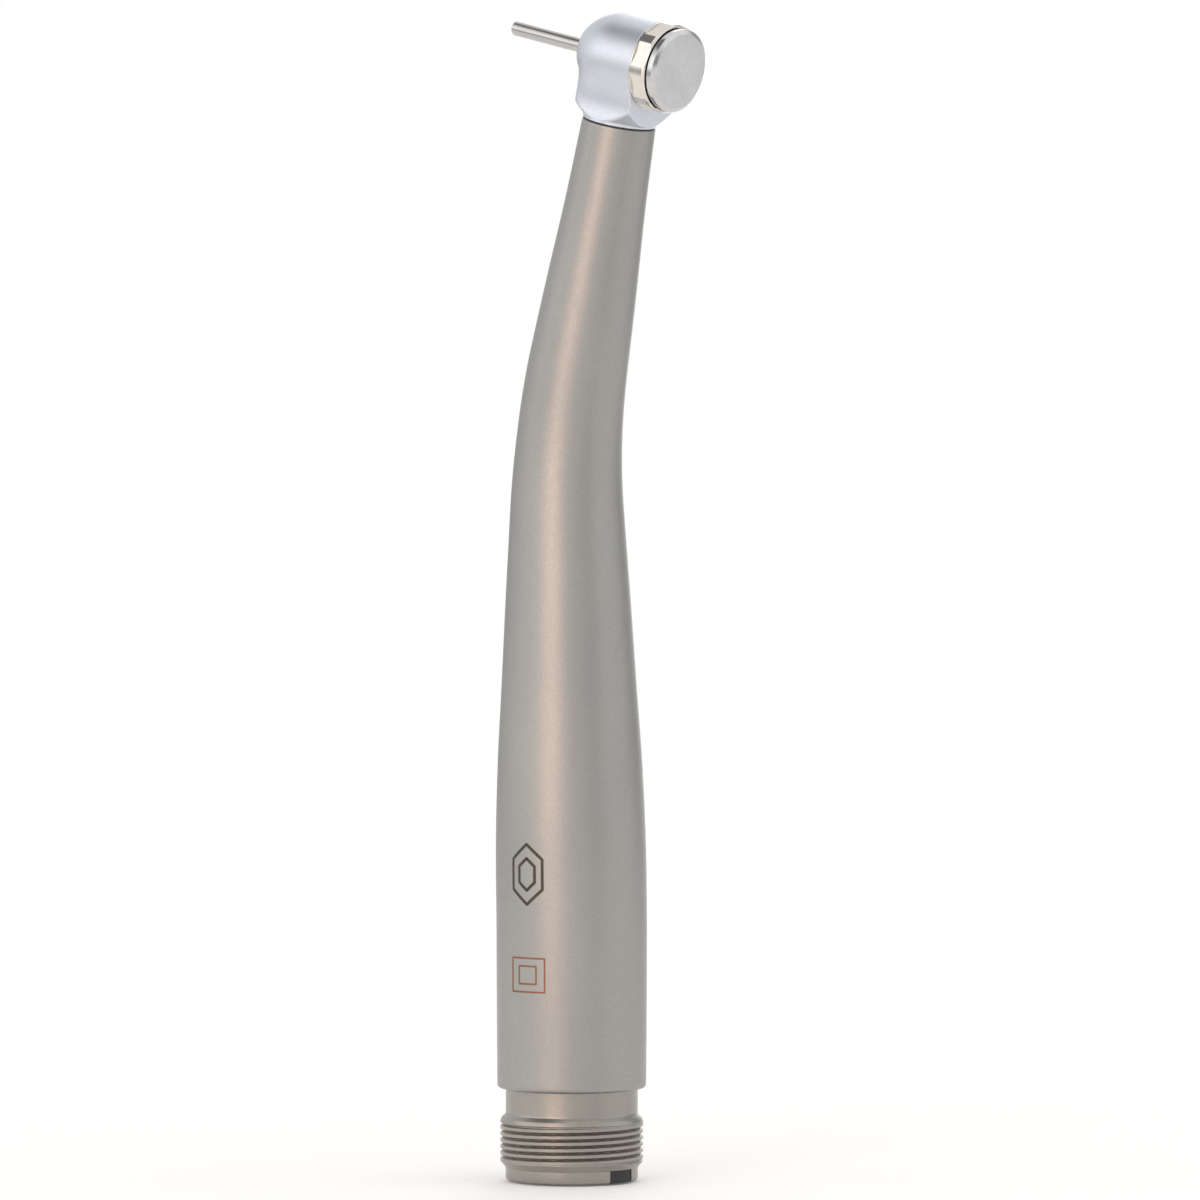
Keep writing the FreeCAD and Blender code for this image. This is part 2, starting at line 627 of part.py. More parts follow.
PIECES = {
    "sheath": sheath(),
    "rear_connector": rear_connector(),
    "rear_gasket": rear_gasket(),
    "port_block": port_block(),
    "port_block_nut": port_block_nut(),
    "sheath_o_ring": sheath_o_ring(),
    "drive_air_tube": tube("drive_air"),
    "water_tube": tube("water"),
    "chip_air_tube": tube("chip_air"),
    "neck_seal": neck_seal(),
    "head_shell": head_shell(),
    "cap_ring": cap_ring(),
    "push_button": push_button(),
    "button_clip": button_clip(),
    "button_spring": button_spring(),
    "spindle": spindle(),
    "impeller": impeller(),
    "chuck_collet": chuck_collet(),
    "chuck_spring": chuck_spring(),
    "chuck_pusher": chuck_pusher(),
    "test_bar": test_bar(),
    "preload_washer": preload_washer(),
    "front_bearing_shield": shield(FRONT_BEARING_Q + 0.04),
    "rear_bearing_shield": shield(REAR_BEARING_Q + BEARING_WIDTH - 0.04 - SHIELD_THICKNESS),
}
for place, bearing_q in (("front", FRONT_BEARING_Q), ("rear", REAR_BEARING_Q)):
    PIECES[place + "_bearing_o_ring"] = bearing_o_ring(bearing_q)
    PIECES[place + "_bearing_outer_race"] = outer_race(bearing_q)
    PIECES[place + "_bearing_inner_race"] = inner_race(bearing_q)
    PIECES[place + "_bearing_balls"] = balls(bearing_q)
    PIECES[place + "_bearing_cage"] = cage(bearing_q)

os.makedirs("parts", exist_ok=True)
for name, shape in PIECES.items():
    print(name, shape.isValid(), len(shape.Solids), round(shape.Volume, 3))
    shape.exportStep("parts/" + name + ".step")
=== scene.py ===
import json
import math

import bpy
import numpy as np
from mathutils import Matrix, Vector


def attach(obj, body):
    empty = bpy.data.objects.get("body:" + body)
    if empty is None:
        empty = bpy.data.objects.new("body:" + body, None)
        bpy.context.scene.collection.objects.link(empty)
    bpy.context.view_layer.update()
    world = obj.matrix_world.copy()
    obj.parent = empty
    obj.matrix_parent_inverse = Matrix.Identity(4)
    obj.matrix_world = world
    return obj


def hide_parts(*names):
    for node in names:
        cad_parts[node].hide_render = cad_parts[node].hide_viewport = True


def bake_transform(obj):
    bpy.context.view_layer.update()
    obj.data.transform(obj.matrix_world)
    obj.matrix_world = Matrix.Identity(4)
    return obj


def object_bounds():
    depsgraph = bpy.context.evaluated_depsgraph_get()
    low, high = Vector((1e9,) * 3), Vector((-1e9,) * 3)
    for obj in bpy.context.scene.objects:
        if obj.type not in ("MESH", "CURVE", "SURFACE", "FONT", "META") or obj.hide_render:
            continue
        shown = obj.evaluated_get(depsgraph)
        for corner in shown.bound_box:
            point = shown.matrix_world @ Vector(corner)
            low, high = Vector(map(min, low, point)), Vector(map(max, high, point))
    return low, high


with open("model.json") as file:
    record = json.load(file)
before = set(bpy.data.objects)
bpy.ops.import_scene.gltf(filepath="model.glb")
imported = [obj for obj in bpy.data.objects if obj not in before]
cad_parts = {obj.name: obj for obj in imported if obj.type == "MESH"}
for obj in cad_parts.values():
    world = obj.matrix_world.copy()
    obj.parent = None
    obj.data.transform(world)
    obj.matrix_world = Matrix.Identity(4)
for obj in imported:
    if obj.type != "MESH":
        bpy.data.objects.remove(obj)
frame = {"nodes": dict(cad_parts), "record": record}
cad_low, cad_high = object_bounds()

# Everything is worked out in millimetres and turned into metres when a mesh is made.
MM = 0.001
RECORD = frame["record"]
SPIN = next(j for j in RECORD["behaviour"]["joints"] if j["name"] == "turbine_spin")

# ------------------------------------------------------------------ places taken from the frame

HEAD = np.array(SPIN["pos_m"]) * 1000          # where the bar's axis crosses the neck's axis
TO_TIP = np.array(SPIN["axis"], float)
TO_TIP /= np.linalg.norm(TO_TIP)
TO_CAP = -TO_TIP                               # along the bar's axis, towards the button
Y_DIR = np.array([0.0, 1.0, 0.0])
DOWN = np.cross(Y_DIR, TO_CAP)                 # square to the bar's axis, towards the neck
NECK_LEAN = math.radians(12.4)
NECK_DOWN = np.array([-math.sin(NECK_LEAN), 0.0, -math.cos(NECK_LEAN)])

CAMERA_AZIMUTH = math.radians(40.0)            # from -Y towards +X

# ------------------------------------------------------------------ sizes of the visible pieces, in mm

NECK_X = HEAD[0] + 0.2                         # where the neck's axis passes, at the head's height
HANDLE_LEAN = math.radians(0.85)
LEAN_START = 28.0
BEND_TANGENT = 8.5
SHEATH_BOTTOM = 9.8
SHEATH_RADII = [7.93, 7.99, 8.02, 8.0, 7.72, 7.2, 6.7, 6.16, 5.66, 5.3, 4.84, 4.3, 3.93]
SHEATH_WALL = (0.7, 0.5)
COLLAR_BOTTOM = 6.92
SEAL_GAP = 0.15
COLLAR_R = 3.9
COLLAR_TOP = 6.5
STUB_R = 3.4
STUB_END = 14.0
BARREL_R = 4.79
DOME_CENTRE = 0.3
DOME_LENGTH = 6.38
FRONT_Q = -5.3
CAP_Q = 4.1
UNDERSIDE_R = 5.0
UNDERSIDE_T = 5.46
UNDERSIDE_ANGLE = math.radians(43.8)


def in_head(points):
    """Points given as (down, y, along the bar's axis) to the row frame."""
    p = np.asarray(points, float)
    return HEAD + p[:, :1] * DOWN + p[:, 1:2] * Y_DIR + p[:, 2:3] * TO_CAP


def upright(points):
    return np.asarray(points, float)


# ------------------------------------------------------------------ mesh helpers

def make_piece(name, points, faces, body, material, crease=None, normals=None):
    """A mesh piece from points in mm that rides on a body, if one is given. Edges sharper than crease stay sharp."""
    mesh = bpy.data.meshes.new(name)
    mesh.from_pydata((np.asarray(points) * MM).tolist(), [], [list(f) for f in faces])
    mesh.update()
    mesh.polygons.foreach_set("use_smooth", [True] * len(mesh.polygons))
    if crease is not None:
        mesh.set_sharp_from_angle(angle=math.radians(crease))
    if normals is not None:
        mesh.normals_split_custom_set_from_vertices(np.asarray(normals).tolist())
    mesh.materials.append(material)
    piece = bpy.data.objects.new(name, mesh)
    bpy.context.scene.collection.objects.link(piece)
    if body is not None:
        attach(piece, body)
    return piece


def grid_faces(rows, columns):
    """Quads of a closed band of rows by columns points, wrapping round in the columns."""
    r, c = np.meshgrid(np.arange(rows - 1), np.arange(columns), indexing="ij")
    n = (c + 1) % columns
    quads = np.stack([r * columns + c, r * columns + n, (r + 1) * columns + n, (r + 1) * columns + c], -1)
    return quads.reshape(-1, 4)


def closed_grid_faces(rows, columns):
    """As grid_faces, and the last row joins the first."""
    quads = grid_faces(rows + 1, columns)
    return quads % (rows * columns)


def rounded(outline, radius, steps=5):
    """An outline of (r, z) points with its corners rounded. A corner may give its own radius as a third value."""
    points = []
    count = len(outline)
    for k in range(count):
        here = np.array(outline[k][:2], float)
        own = outline[k][2] if len(outline[k]) > 2 else radius
        before = np.array(outline[k - 1][:2], float) - here
        after = np.array(outline[(k + 1) % count][:2], float) - here
        la, lb = np.linalg.norm(before), np.linalg.norm(after)
        before, after = before / la, after / lb
        half = math.acos(max(-1.0, min(1.0, float(before @ after)))) / 2
        reach = min(own / math.tan(half), 0.45 * la, 0.45 * lb) if half < 1.55 else 0.0
        if own <= 0 or reach < 1e-4:
            points.append(here)
            continue
        bend = reach * math.tan(half)
        middle = (before + after) / np.linalg.norm(before + after)
        centre = here + middle * bend / math.sin(half)
        start, end = here + before * reach - centre, here + after * reach - centre
        turn = math.acos(max(-1.0, min(1.0, float(start @ end) / bend ** 2)))
        for s in range(steps + 1):
            t = s / steps
            points.append(centre + (math.sin((1 - t) * turn) * start + math.sin(t * turn) * end) / math.sin(turn))
    return np.array(points)


def lathe(name, outline, place, body, material, segments=192, crease=35, shape=None):
    """A solid of revolution from a closed outline of (r, z). shape(angle, r, z) may change the radius."""
    outline = np.asarray(outline, float)
    angles = np.arange(segments) * 2 * math.pi / segments
    r = np.repeat(outline[:, :1], segments, 1)
    z = np.repeat(outline[:, 1:2], segments, 1)
    a = np.repeat(angles[None], len(outline), 0)
    if shape is not None:
        r = shape(a, r, z)
    points = np.stack([r * np.cos(a), r * np.sin(a), z], -1).reshape(-1, 3)
    faces = closed_grid_faces(len(outline), segments)
    return make_piece(name, place(points), faces, body, material, crease)


def disc_outline(outline):
    """Close an outline that starts and ends on the axis with a hair-thin core, so that no point is shared."""
    hair = 0.004
    return [(max(p[0], hair), *p[1:]) for p in outline]


# ------------------------------------------------------------------ node materials

# Nearly all values of a noise texture lie between these.
NOISE_LOW, NOISE_HIGH = 0.3, 0.7


class Nodes:
    """A small helper that makes a material's nodes and joins them."""

    def __init__(self, name):
        self.material = bpy.data.materials.new(name)
        self.material.use_nodes = True
        self.tree = self.material.node_tree
        self.shader = self.tree.nodes["Principled BSDF"]
        self.place = self.tree.nodes.new("ShaderNodeTexCoord").outputs["Object"]

    def add(self, kind, inputs=None, **settings):
        node = self.tree.nodes.new(kind)
        for key, value in settings.items():
            setattr(node, key, value)
        for key, value in (inputs or {}).items():
            if isinstance(value, bpy.types.NodeSocket):
                self.tree.links.new(value, node.inputs[key])
            else:
                node.inputs[key].default_value = value
        return node

    def noise(self, size_mm, detail=3.0, place=None, rough=0.55):
        node = self.add("ShaderNodeTexNoise", {"Vector": place or self.place, "Scale": 1 / (size_mm * MM),
                                               "Detail": detail, "Roughness": rough})
        return node.outputs["Fac"]

    def stretched(self, scale):
        return self.add("ShaderNodeMapping", {"Vector": self.place, "Scale": scale}).outputs["Vector"]

    def ramp(self, value, low, high):
        node = self.add("ShaderNodeMapRange", {"Value": value, "To Min": low, "To Max": high})
        node.inputs["From Min"].default_value = NOISE_LOW
        node.inputs["From Max"].default_value = NOISE_HIGH
        return node.outputs["Result"]

    def blend(self, value, first, second):
        node = self.add("ShaderNodeMix", data_type="RGBA")
        self.tree.links.new(value, node.inputs[0])
        node.inputs[6].default_value = (*first, 1)
        node.inputs[7].default_value = (*second, 1)
        return node.outputs[2]

    def bump(self, height, depth_mm, strength=1.0, normal=None):
        inputs = {"Height": height, "Distance": depth_mm * MM, "Strength": strength}
        if normal is not None:
            inputs["Normal"] = normal
        return self.add("ShaderNodeBump", inputs).outputs["Normal"]

    def finish(self, color, roughness, normal=None, **fixed):
        for key, value in (("Base Color", color), ("Roughness", roughness), ("Normal", normal)):
            if isinstance(value, bpy.types.NodeSocket):
                self.tree.links.new(value, self.shader.inputs[key])
            elif value is not None:
                self.shader.inputs[key].default_value = (*value, 1) if key == "Base Color" else value
        for key, value in fixed.items():
            self.shader.inputs[key.replace("_", " ")].default_value = value
        return self.material


def blasted_metal(name, color, tint, roughness, grain_mm, grain_depth):
    """Bead-blasted metal: a fine grain in the surface, and a slow drift of tone."""
    n = Nodes(name)
    grain = n.noise(grain_mm, 2.0)
    drift = n.noise(6.0, 2.0, n.stretched((1, 1, 0.35)))
    tone = n.blend(n.ramp(drift, 0.0, 1.0), color, tint)
    speck = n.add("ShaderNodeMix", data_type="RGBA", blend_type="MULTIPLY")
    n.tree.links.new(n.ramp(grain, 0.0, 0.5), speck.inputs[0])
    n.tree.links.new(tone, speck.inputs[6])
    speck.inputs[7].default_value = (0.82, 0.82, 0.82, 1)
    rough = n.ramp(grain, roughness - 0.05, roughness + 0.07)
    normal = n.bump(grain, grain_depth)
    return n.finish(speck.outputs[2], rough, normal, Metallic=1.0)


def turned_metal(name, color, roughness, axis_point, axis, line_mm=0.05, depth=0.004, end_roughness=None):
    """Metal with fine turning lines round an axis: rings of noise in the distance from the axis and along it."""
    n = Nodes(name)
    offset = n.add("ShaderNodeVectorMath", {0: n.place, 1: tuple(np.array(axis_point) * MM)}, operation="SUBTRACT")
    along = n.add("ShaderNodeVectorMath", {0: offset.outputs[0], 1: tuple(axis)}, operation="DOT_PRODUCT")
    length = n.add("ShaderNodeVectorMath", {0: offset.outputs[0]}, operation="LENGTH")
    rings = n.add("ShaderNodeCombineXYZ", {"X": along.outputs["Value"], "Y": length.outputs["Value"]})
    lines = n.noise(line_mm, 4.0, rings.outputs[0], 0.7)
    patches = n.noise(1.5, 2.0)
    tone = n.blend(n.ramp(patches, 0.0, 1.0), color, tuple(c * 0.9 for c in color))
    rough = n.ramp(lines, roughness * 0.75, roughness * 1.3)
    if end_roughness is not None:
        way = n.add("ShaderNodeTexCoord").outputs["Normal"]
        facing = n.add("ShaderNodeVectorMath", {0: way, 1: tuple(axis)}, operation="DOT_PRODUCT").outputs["Value"]
        on_end = n.add("ShaderNodeMapRange", {"Value": facing, "From Min": 0.96, "From Max": 0.995})
        end = n.ramp(lines, end_roughness * 0.85, end_roughness * 1.15)
        mix = n.add("ShaderNodeMix", {0: on_end.outputs["Result"], 2: rough, 3: end})
        rough = mix.outputs[0]
    return n.finish(tone, rough, n.bump(lines, depth), Metallic=1.0)


def plain_rubber(name):
    n = Nodes(name)
    grain = n.noise(0.12, 3.0)
    dust = n.noise(1.2, 3.0)
    tone = n.blend(n.ramp(dust, 0.0, 1.0), (0.018, 0.018, 0.02), (0.035, 0.034, 0.034))
    return n.finish(tone, n.ramp(grain, 0.55, 0.75), n.bump(grain, 0.01))


def phenolic(name):
    n = Nodes(name)
    weave = n.noise(0.15, 4.0, n.stretched((1, 3, 1)))
    tone = n.blend(n.ramp(weave, 0.0, 1.0), (0.33, 0.19, 0.08), (0.44, 0.27, 0.12))
    return n.finish(tone, n.ramp(weave, 0.4, 0.6), n.bump(weave, 0.01))


def ceramic(name):
    n = Nodes(name)
    cloud = n.noise(0.3, 3.0)
    tone = n.blend(n.ramp(cloud, 0.0, 1.0), (0.03, 0.03, 0.034), (0.055, 0.055, 0.06))
    return n.finish(tone, n.ramp(cloud, 0.08, 0.16), None, Coat_Weight=0.3)


MATERIALS = {
    "satin_sheath": blasted_metal("satin_sheath", (0.392, 0.386, 0.362), (0.37, 0.366, 0.348), 0.4, 0.17, 0.009),
    "satin_connector": blasted_metal("satin_connector", (0.37, 0.35, 0.315), (0.345, 0.33, 0.3), 0.32, 0.18, 0.006),
    "satin_head": blasted_metal("satin_head", (0.635, 0.67, 0.73), (0.66, 0.69, 0.745), 0.38, 0.17, 0.01),
    "polished_nickel": turned_metal("polished_nickel", (0.76, 0.725, 0.665), 0.06, HEAD, TO_CAP, 0.06, 0.0007),
    "brushed_button": turned_metal("brushed_button", (0.615, 0.615, 0.62), 0.13, HEAD, TO_CAP, 0.05, 0.002, 0.36),
    "bar_steel": turned_metal("bar_steel", (0.54, 0.53, 0.515), 0.16, HEAD, TO_CAP, 0.05, 0.001),
    "turned_steel": turned_metal("turned_steel", (0.5, 0.49, 0.47), 0.3, HEAD, TO_CAP, 0.05, 0.003),
    "tube_steel": blasted_metal("tube_steel", (0.5, 0.5, 0.49), (0.46, 0.46, 0.45), 0.28, 0.2, 0.003),
    "spring_steel": blasted_metal("spring_steel", (0.42, 0.42, 0.43), (0.38, 0.38, 0.4), 0.25, 0.1, 0.002),
    "bearing_steel": turned_metal("bearing_steel", (0.6, 0.6, 0.6), 0.15, HEAD, TO_CAP, 0.05, 0.001),
    "ceramic_ball": ceramic("ceramic_ball"),
    "cage_polymer": phenolic("cage_polymer"),
    "impeller_alloy": turned_metal("impeller_alloy", (0.6, 0.6, 0.61), 0.3, HEAD, TO_CAP, 0.06, 0.003),
    "black_rubber": plain_rubber("black_rubber"),
    "laser_mark": blasted_metal("laser_mark", (0.07, 0.062, 0.05), (0.1, 0.085, 0.065), 0.5, 0.1, 0.003),
    "warm_laser_mark": blasted_metal("warm_laser_mark", (0.26, 0.12, 0.08), (0.3, 0.15, 0.09), 0.5, 0.1, 0.003),
}


# ------------------------------------------------------------------ sheath

def bend_start():
    """Where the handle's leaning axis leaves for the bend, and the bend's radius."""
    lean, neck = math.tan(HANDLE_LEAN), math.tan(NECK_LEAN)
    corner_z = (lean * LEAN_START - NECK_X + neck * HEAD[2]) / (neck + lean)
    corner_x = -lean * (corner_z - LEAN_START)
    x = corner_x + BEND_TANGENT * math.sin(HANDLE_LEAN)
    z = corner_z - BEND_TANGENT * math.cos(HANDLE_LEAN)
    return x, z, BEND_TANGENT / math.tan((HANDLE_LEAN + NECK_LEAN) / 2)


BEND_X, BEND_Z, BEND_R = bend_start()


def centreline(z):
    """X of the handle's axis at height z, and its lean there."""
    if z <= LEAN_START:
        return 0.0, 0.0
    if z <= BEND_Z:
        return -math.tan(HANDLE_LEAN) * (z - LEAN_START), -HANDLE_LEAN
    rise = math.asin((z - BEND_Z - BEND_R * math.sin(HANDLE_LEAN)) / BEND_R)
    if rise < NECK_LEAN:
        return BEND_X + BEND_R * (math.cos(HANDLE_LEAN) - math.cos(rise)), rise
    return NECK_X - math.tan(NECK_LEAN) * (HEAD[2] - z), NECK_LEAN


SHEATH_TOP = HEAD[2] - (COLLAR_BOTTOM + SEAL_GAP) * math.cos(NECK_LEAN)


def sheath_radius(share):
    """The sheath's radius at a share of its height, by a smooth curve through the driving radii."""
    place = share * (len(SHEATH_RADII) - 1)
    k = min(int(place), len(SHEATH_RADII) - 2)
    t = place - k
    b, c = SHEATH_RADII[k], SHEATH_RADII[k + 1]
    a = SHEATH_RADII[k - 1] if k else 2 * b - c
    d = SHEATH_RADII[k + 2] if k + 2 < len(SHEATH_RADII) else 2 * c - b
    return b + t * (c - a) / 2 + t * t * (a - 2.5 * b + 2 * c - d / 2) + t ** 3 * (1.5 * (b - c) + (d - a) / 2)


def sheath_point(z, angle, lift=0.0):
    """A point of the sheath's surface: angle is measured from +X towards +Y."""
    x, lean = centreline(z)
    share = (z - SHEATH_BOTTOM) / (SHEATH_TOP - SHEATH_BOTTOM)
    radius = sheath_radius(min(max(share, 0.0), 1.0)) + lift
    across = radius * math.cos(angle)
    return (x + across * math.cos(lean), radius * math.sin(angle), z - across * math.sin(lean))


def make_sheath():
    """A bent tube with a rounded edge at each end."""
    segments, edge, top_edge = 160, 0.38, 0.1
    height = SHEATH_TOP - SHEATH_BOTTOM
    rows = [(edge * (1 - math.cos(a)), -edge * (1 - math.sin(a))) for a in np.linspace(0.0, math.pi / 2, 7)]
    rows += [(z, 0.0) for z in np.linspace(edge * 1.6, height - 0.3, 200)]
    rows += [(height - top_edge * (1 - math.sin(a)), -top_edge * (1 - math.cos(a)))
             for a in np.linspace(0.0, math.pi / 2, 5)]
    outer = [[sheath_point(SHEATH_BOTTOM + h, 2 * math.pi * k / segments, lift) for k in range(segments)]
             for h, lift in rows]
    inner = []
    for h in np.linspace(height, 0.0, 60):
        wall = SHEATH_WALL[0] + (SHEATH_WALL[1] - SHEATH_WALL[0]) * h / height
        inner.append([sheath_point(SHEATH_BOTTOM + h, 2 * math.pi * k / segments, -wall) for k in range(segments)])
    points = np.array(outer + inner).reshape(-1, 3)
    faces = closed_grid_faces(len(outer) + len(inner), segments)
    piece = make_piece("sheath_shell", points, faces, "housing", MATERIALS["satin_sheath"], 40)
    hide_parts("sheath")


def evenly(loop, count):
    """The same closed line with so many points, at even steps along it."""
    closed = np.vstack([loop, loop[:1]])
    walked = np.concatenate([[0], np.cumsum(np.linalg.norm(np.diff(closed, axis=0), axis=1))])
    steps = np.arange(count) * walked[-1] / count
    return np.stack([np.interp(steps, walked, closed[:, 0]), np.interp(steps, walked, closed[:, 1])], -1)


# A mark stands proud of the sheath by a hair, and its underside lies within the wall.
MARK_PROUD, MARK_SUNK = 0.006, -0.03
MARKS_LEFT = 36                                # degrees to the left of the side that faces the camera


def surface_mark(name, outline, angle, height, width, material):
    """A fine closed line lasered on the sheath, from (aside, up) points in mm about a centre."""
    path = evenly(np.asarray(outline, float), 160)
    along = np.roll(path, -1, 0) - np.roll(path, 1, 0)
    along /= np.linalg.norm(along, axis=1, keepdims=True)
    across = np.stack([along[:, 1], -along[:, 0]], -1) * width / 2
    points = []
    for here, out in zip(path, across):
        for aside, up, lift in ((*(here + out), MARK_PROUD), (*(here - out), MARK_PROUD),
                                (*(here - out), MARK_SUNK), (*(here + out), MARK_SUNK)):
            z = height + up
            share = (z - SHEATH_BOTTOM) / (SHEATH_TOP - SHEATH_BOTTOM)
            points.append(sheath_point(z, angle + aside / sheath_radius(share), lift))
    faces = closed_grid_faces(len(path), 4)
    make_piece(name, points, faces, "housing", MATERIALS[material], 40)


def make_marks():
    """Plain shapes in place of lettering: one hexagon inside another, and one square inside another."""
    mark_angle = CAMERA_AZIMUTH - math.radians(90 + MARKS_LEFT)
    hexagon = np.array([(math.sin(k * math.pi / 3), math.cos(k * math.pi / 3)) for k in range(6)])
    square = np.array([(1, 1), (1, -1), (-1, -1), (-1, 1)])
    for name, outline, size, height, line, material in (
            ("outer_hexagon", hexagon, (2.2, 3.2), 33.0, 0.34, "laser_mark"),
            ("inner_hexagon", hexagon, (1.15, 1.7), 33.0, 0.34, "laser_mark"),
            ("outer_square", square, (2.1, 1.8), 22.3, 0.2, "warm_laser_mark"),
            ("inner_square", square, (1.1, 0.95), 22.3, 0.2, "warm_laser_mark")):
        surface_mark(name, outline * size, mark_angle, height, line, material)


make_sheath()
make_marks()


# ------------------------------------------------------------------ head shell, from a distance function

def smooth_max(a, b, k):
    """The larger of two distances, blended over a width of k mm."""
    h = np.maximum(k - np.abs(a - b), 0.0) / k
    return np.maximum(a, b) + h * h * k * 0.25


def smooth_min(a, b, k):
    return -smooth_max(-a, -b, k)


# The arc of each waisted side, which leaves the barrel at a tangent: its centre's place and its radius.
WAIST_T, WAIST_Y = 4.85, 9.29
WAIST_R = math.hypot(WAIST_T, WAIST_Y) - BARREL_R
# The neck's direction in the head's own axes: its parts along the bar's axis and down.
NECK_ALONG, NECK_TURN = float(NECK_DOWN @ TO_CAP), float(NECK_DOWN @ DOWN)
FRONT_HOLE_R, FRONT_HOLE_END = 1.75, -3.0
BORE_STEPS = ((2.9, -4.25), (3.24, -3.92), (3.95, -1.3), (4.2, 1.2))     # radius, and where it starts
JET_R, JET_CIRCLE_R, JET_DEPTH = 0.25, 2.05, 0.55
JET_TURNS = (-60.0, 180.0, 60.0)


def head_distance(p):
    """Signed distance, roughly, to the head shell. p is (down, y, along the bar's axis)."""
    t, y, q = p[..., 0], p[..., 1], p[..., 2]
    rho = np.hypot(t, y)
    along = np.minimum(q - DOME_CENTRE, 0.0)
    k0 = np.sqrt((rho / BARREL_R) ** 2 + (along / DOME_LENGTH) ** 2)
    k1 = np.sqrt((rho / BARREL_R ** 2) ** 2 + (along / DOME_LENGTH ** 2) ** 2)
    barrel = k0 * (k0 - 1) / np.maximum(k1, 1e-6)
    barrel = smooth_max(barrel, FRONT_Q - q, 0.5)
    shift = NECK_X - HEAD[0]
    neck_t = t * NECK_TURN + q * NECK_ALONG + shift * math.sin(NECK_LEAN)
    neck_x = q * NECK_TURN - t * NECK_ALONG - shift * math.cos(NECK_LEAN)
    wide = np.abs(y)
    above = t * WAIST_Y < WAIST_T * wide
    out = np.hypot(t - WAIST_T, wide - WAIST_Y)
    side = np.where(above, rho - BARREL_R, WAIST_R - out)
    reach = np.hypot(neck_x, y)
    front = np.where(neck_x < 0, reach, wide) - (UNDERSIDE_R + 0.02)
    cone = (reach - UNDERSIDE_R) * math.cos(UNDERSIDE_ANGLE) + (neck_t - UNDERSIDE_T) * math.sin(UNDERSIDE_ANGLE)
    block = smooth_max(side, front, 0.8)
    block = smooth_max(block, cone, 0.16)
    block = smooth_max(block, -t, 0.5)
    # barrel and block blend widely where they cross, and not at all where the side runs tangent to the barrel
    lean = np.stack([t / BARREL_R ** 2, y / BARREL_R ** 2, along / DOME_LENGTH ** 2], -1)
    lean /= np.maximum(np.linalg.norm(lean, axis=-1, keepdims=True), 1e-6)
    radial = (lean[..., 0] * t + lean[..., 1] * y) / np.maximum(rho, 1e-6)
    arc = (lean[..., 0] * (WAIST_T - t) + np.abs(lean[..., 1]) * (WAIST_Y - wide)) / np.maximum(out, 1e-6)
    agree = np.where(above, radial, arc)
    facing = np.clip((front - side) / 0.8 + 0.5, 0, 1)
    agree_front = (lean[..., 0] * NECK_ALONG * -neck_x + lean[..., 1] * y + lean[..., 2] * NECK_TURN * neck_x)
    agree = agree + facing * (agree_front / np.maximum(reach, 1e-6) - agree)
    body = smooth_min(barrel, block, 0.001 + 3.0 * np.clip(1 - agree, 0, 1))
    body = smooth_max(body, q - CAP_Q, 0.1)
    collar = smooth_max(reach - COLLAR_R, neck_t - COLLAR_BOTTOM, 0.12)
    # the waist runs on through the collar's upper edge
    collar = np.maximum(np.maximum(collar, WAIST_R - out + 0.06), COLLAR_TOP - 0.1 - neck_t)
    body = smooth_min(body, collar, 0.1)
    stub = np.maximum(np.maximum(reach - STUB_R, neck_t - STUB_END), COLLAR_TOP - neck_t)
    body = np.minimum(body, stub)
    hollows = [np.maximum(rho - FRONT_HOLE_R, q - FRONT_HOLE_END)]
    hollows += [np.maximum(rho - radius, start - q) for radius, start in BORE_STEPS]
    for turn in JET_TURNS:
        a = math.radians(turn)
        jet = np.hypot(t - JET_CIRCLE_R * math.cos(a), y - JET_CIRCLE_R * math.sin(a)) - JET_R
        hollows.append(np.maximum(jet, q - FRONT_Q - JET_DEPTH))
    for hollow in hollows:
        body = smooth_max(body, -hollow, 0.05)
    return body


def gradient(distance, p, step=0.01):
    """The slope of a distance function at points p."""
    rows = []
    for axis in range(3):
        shift = np.zeros(3)
        shift[axis] = step
        rows.append((distance(p + shift) - distance(p - shift)) / (2 * step))
    return np.stack(rows, -1)


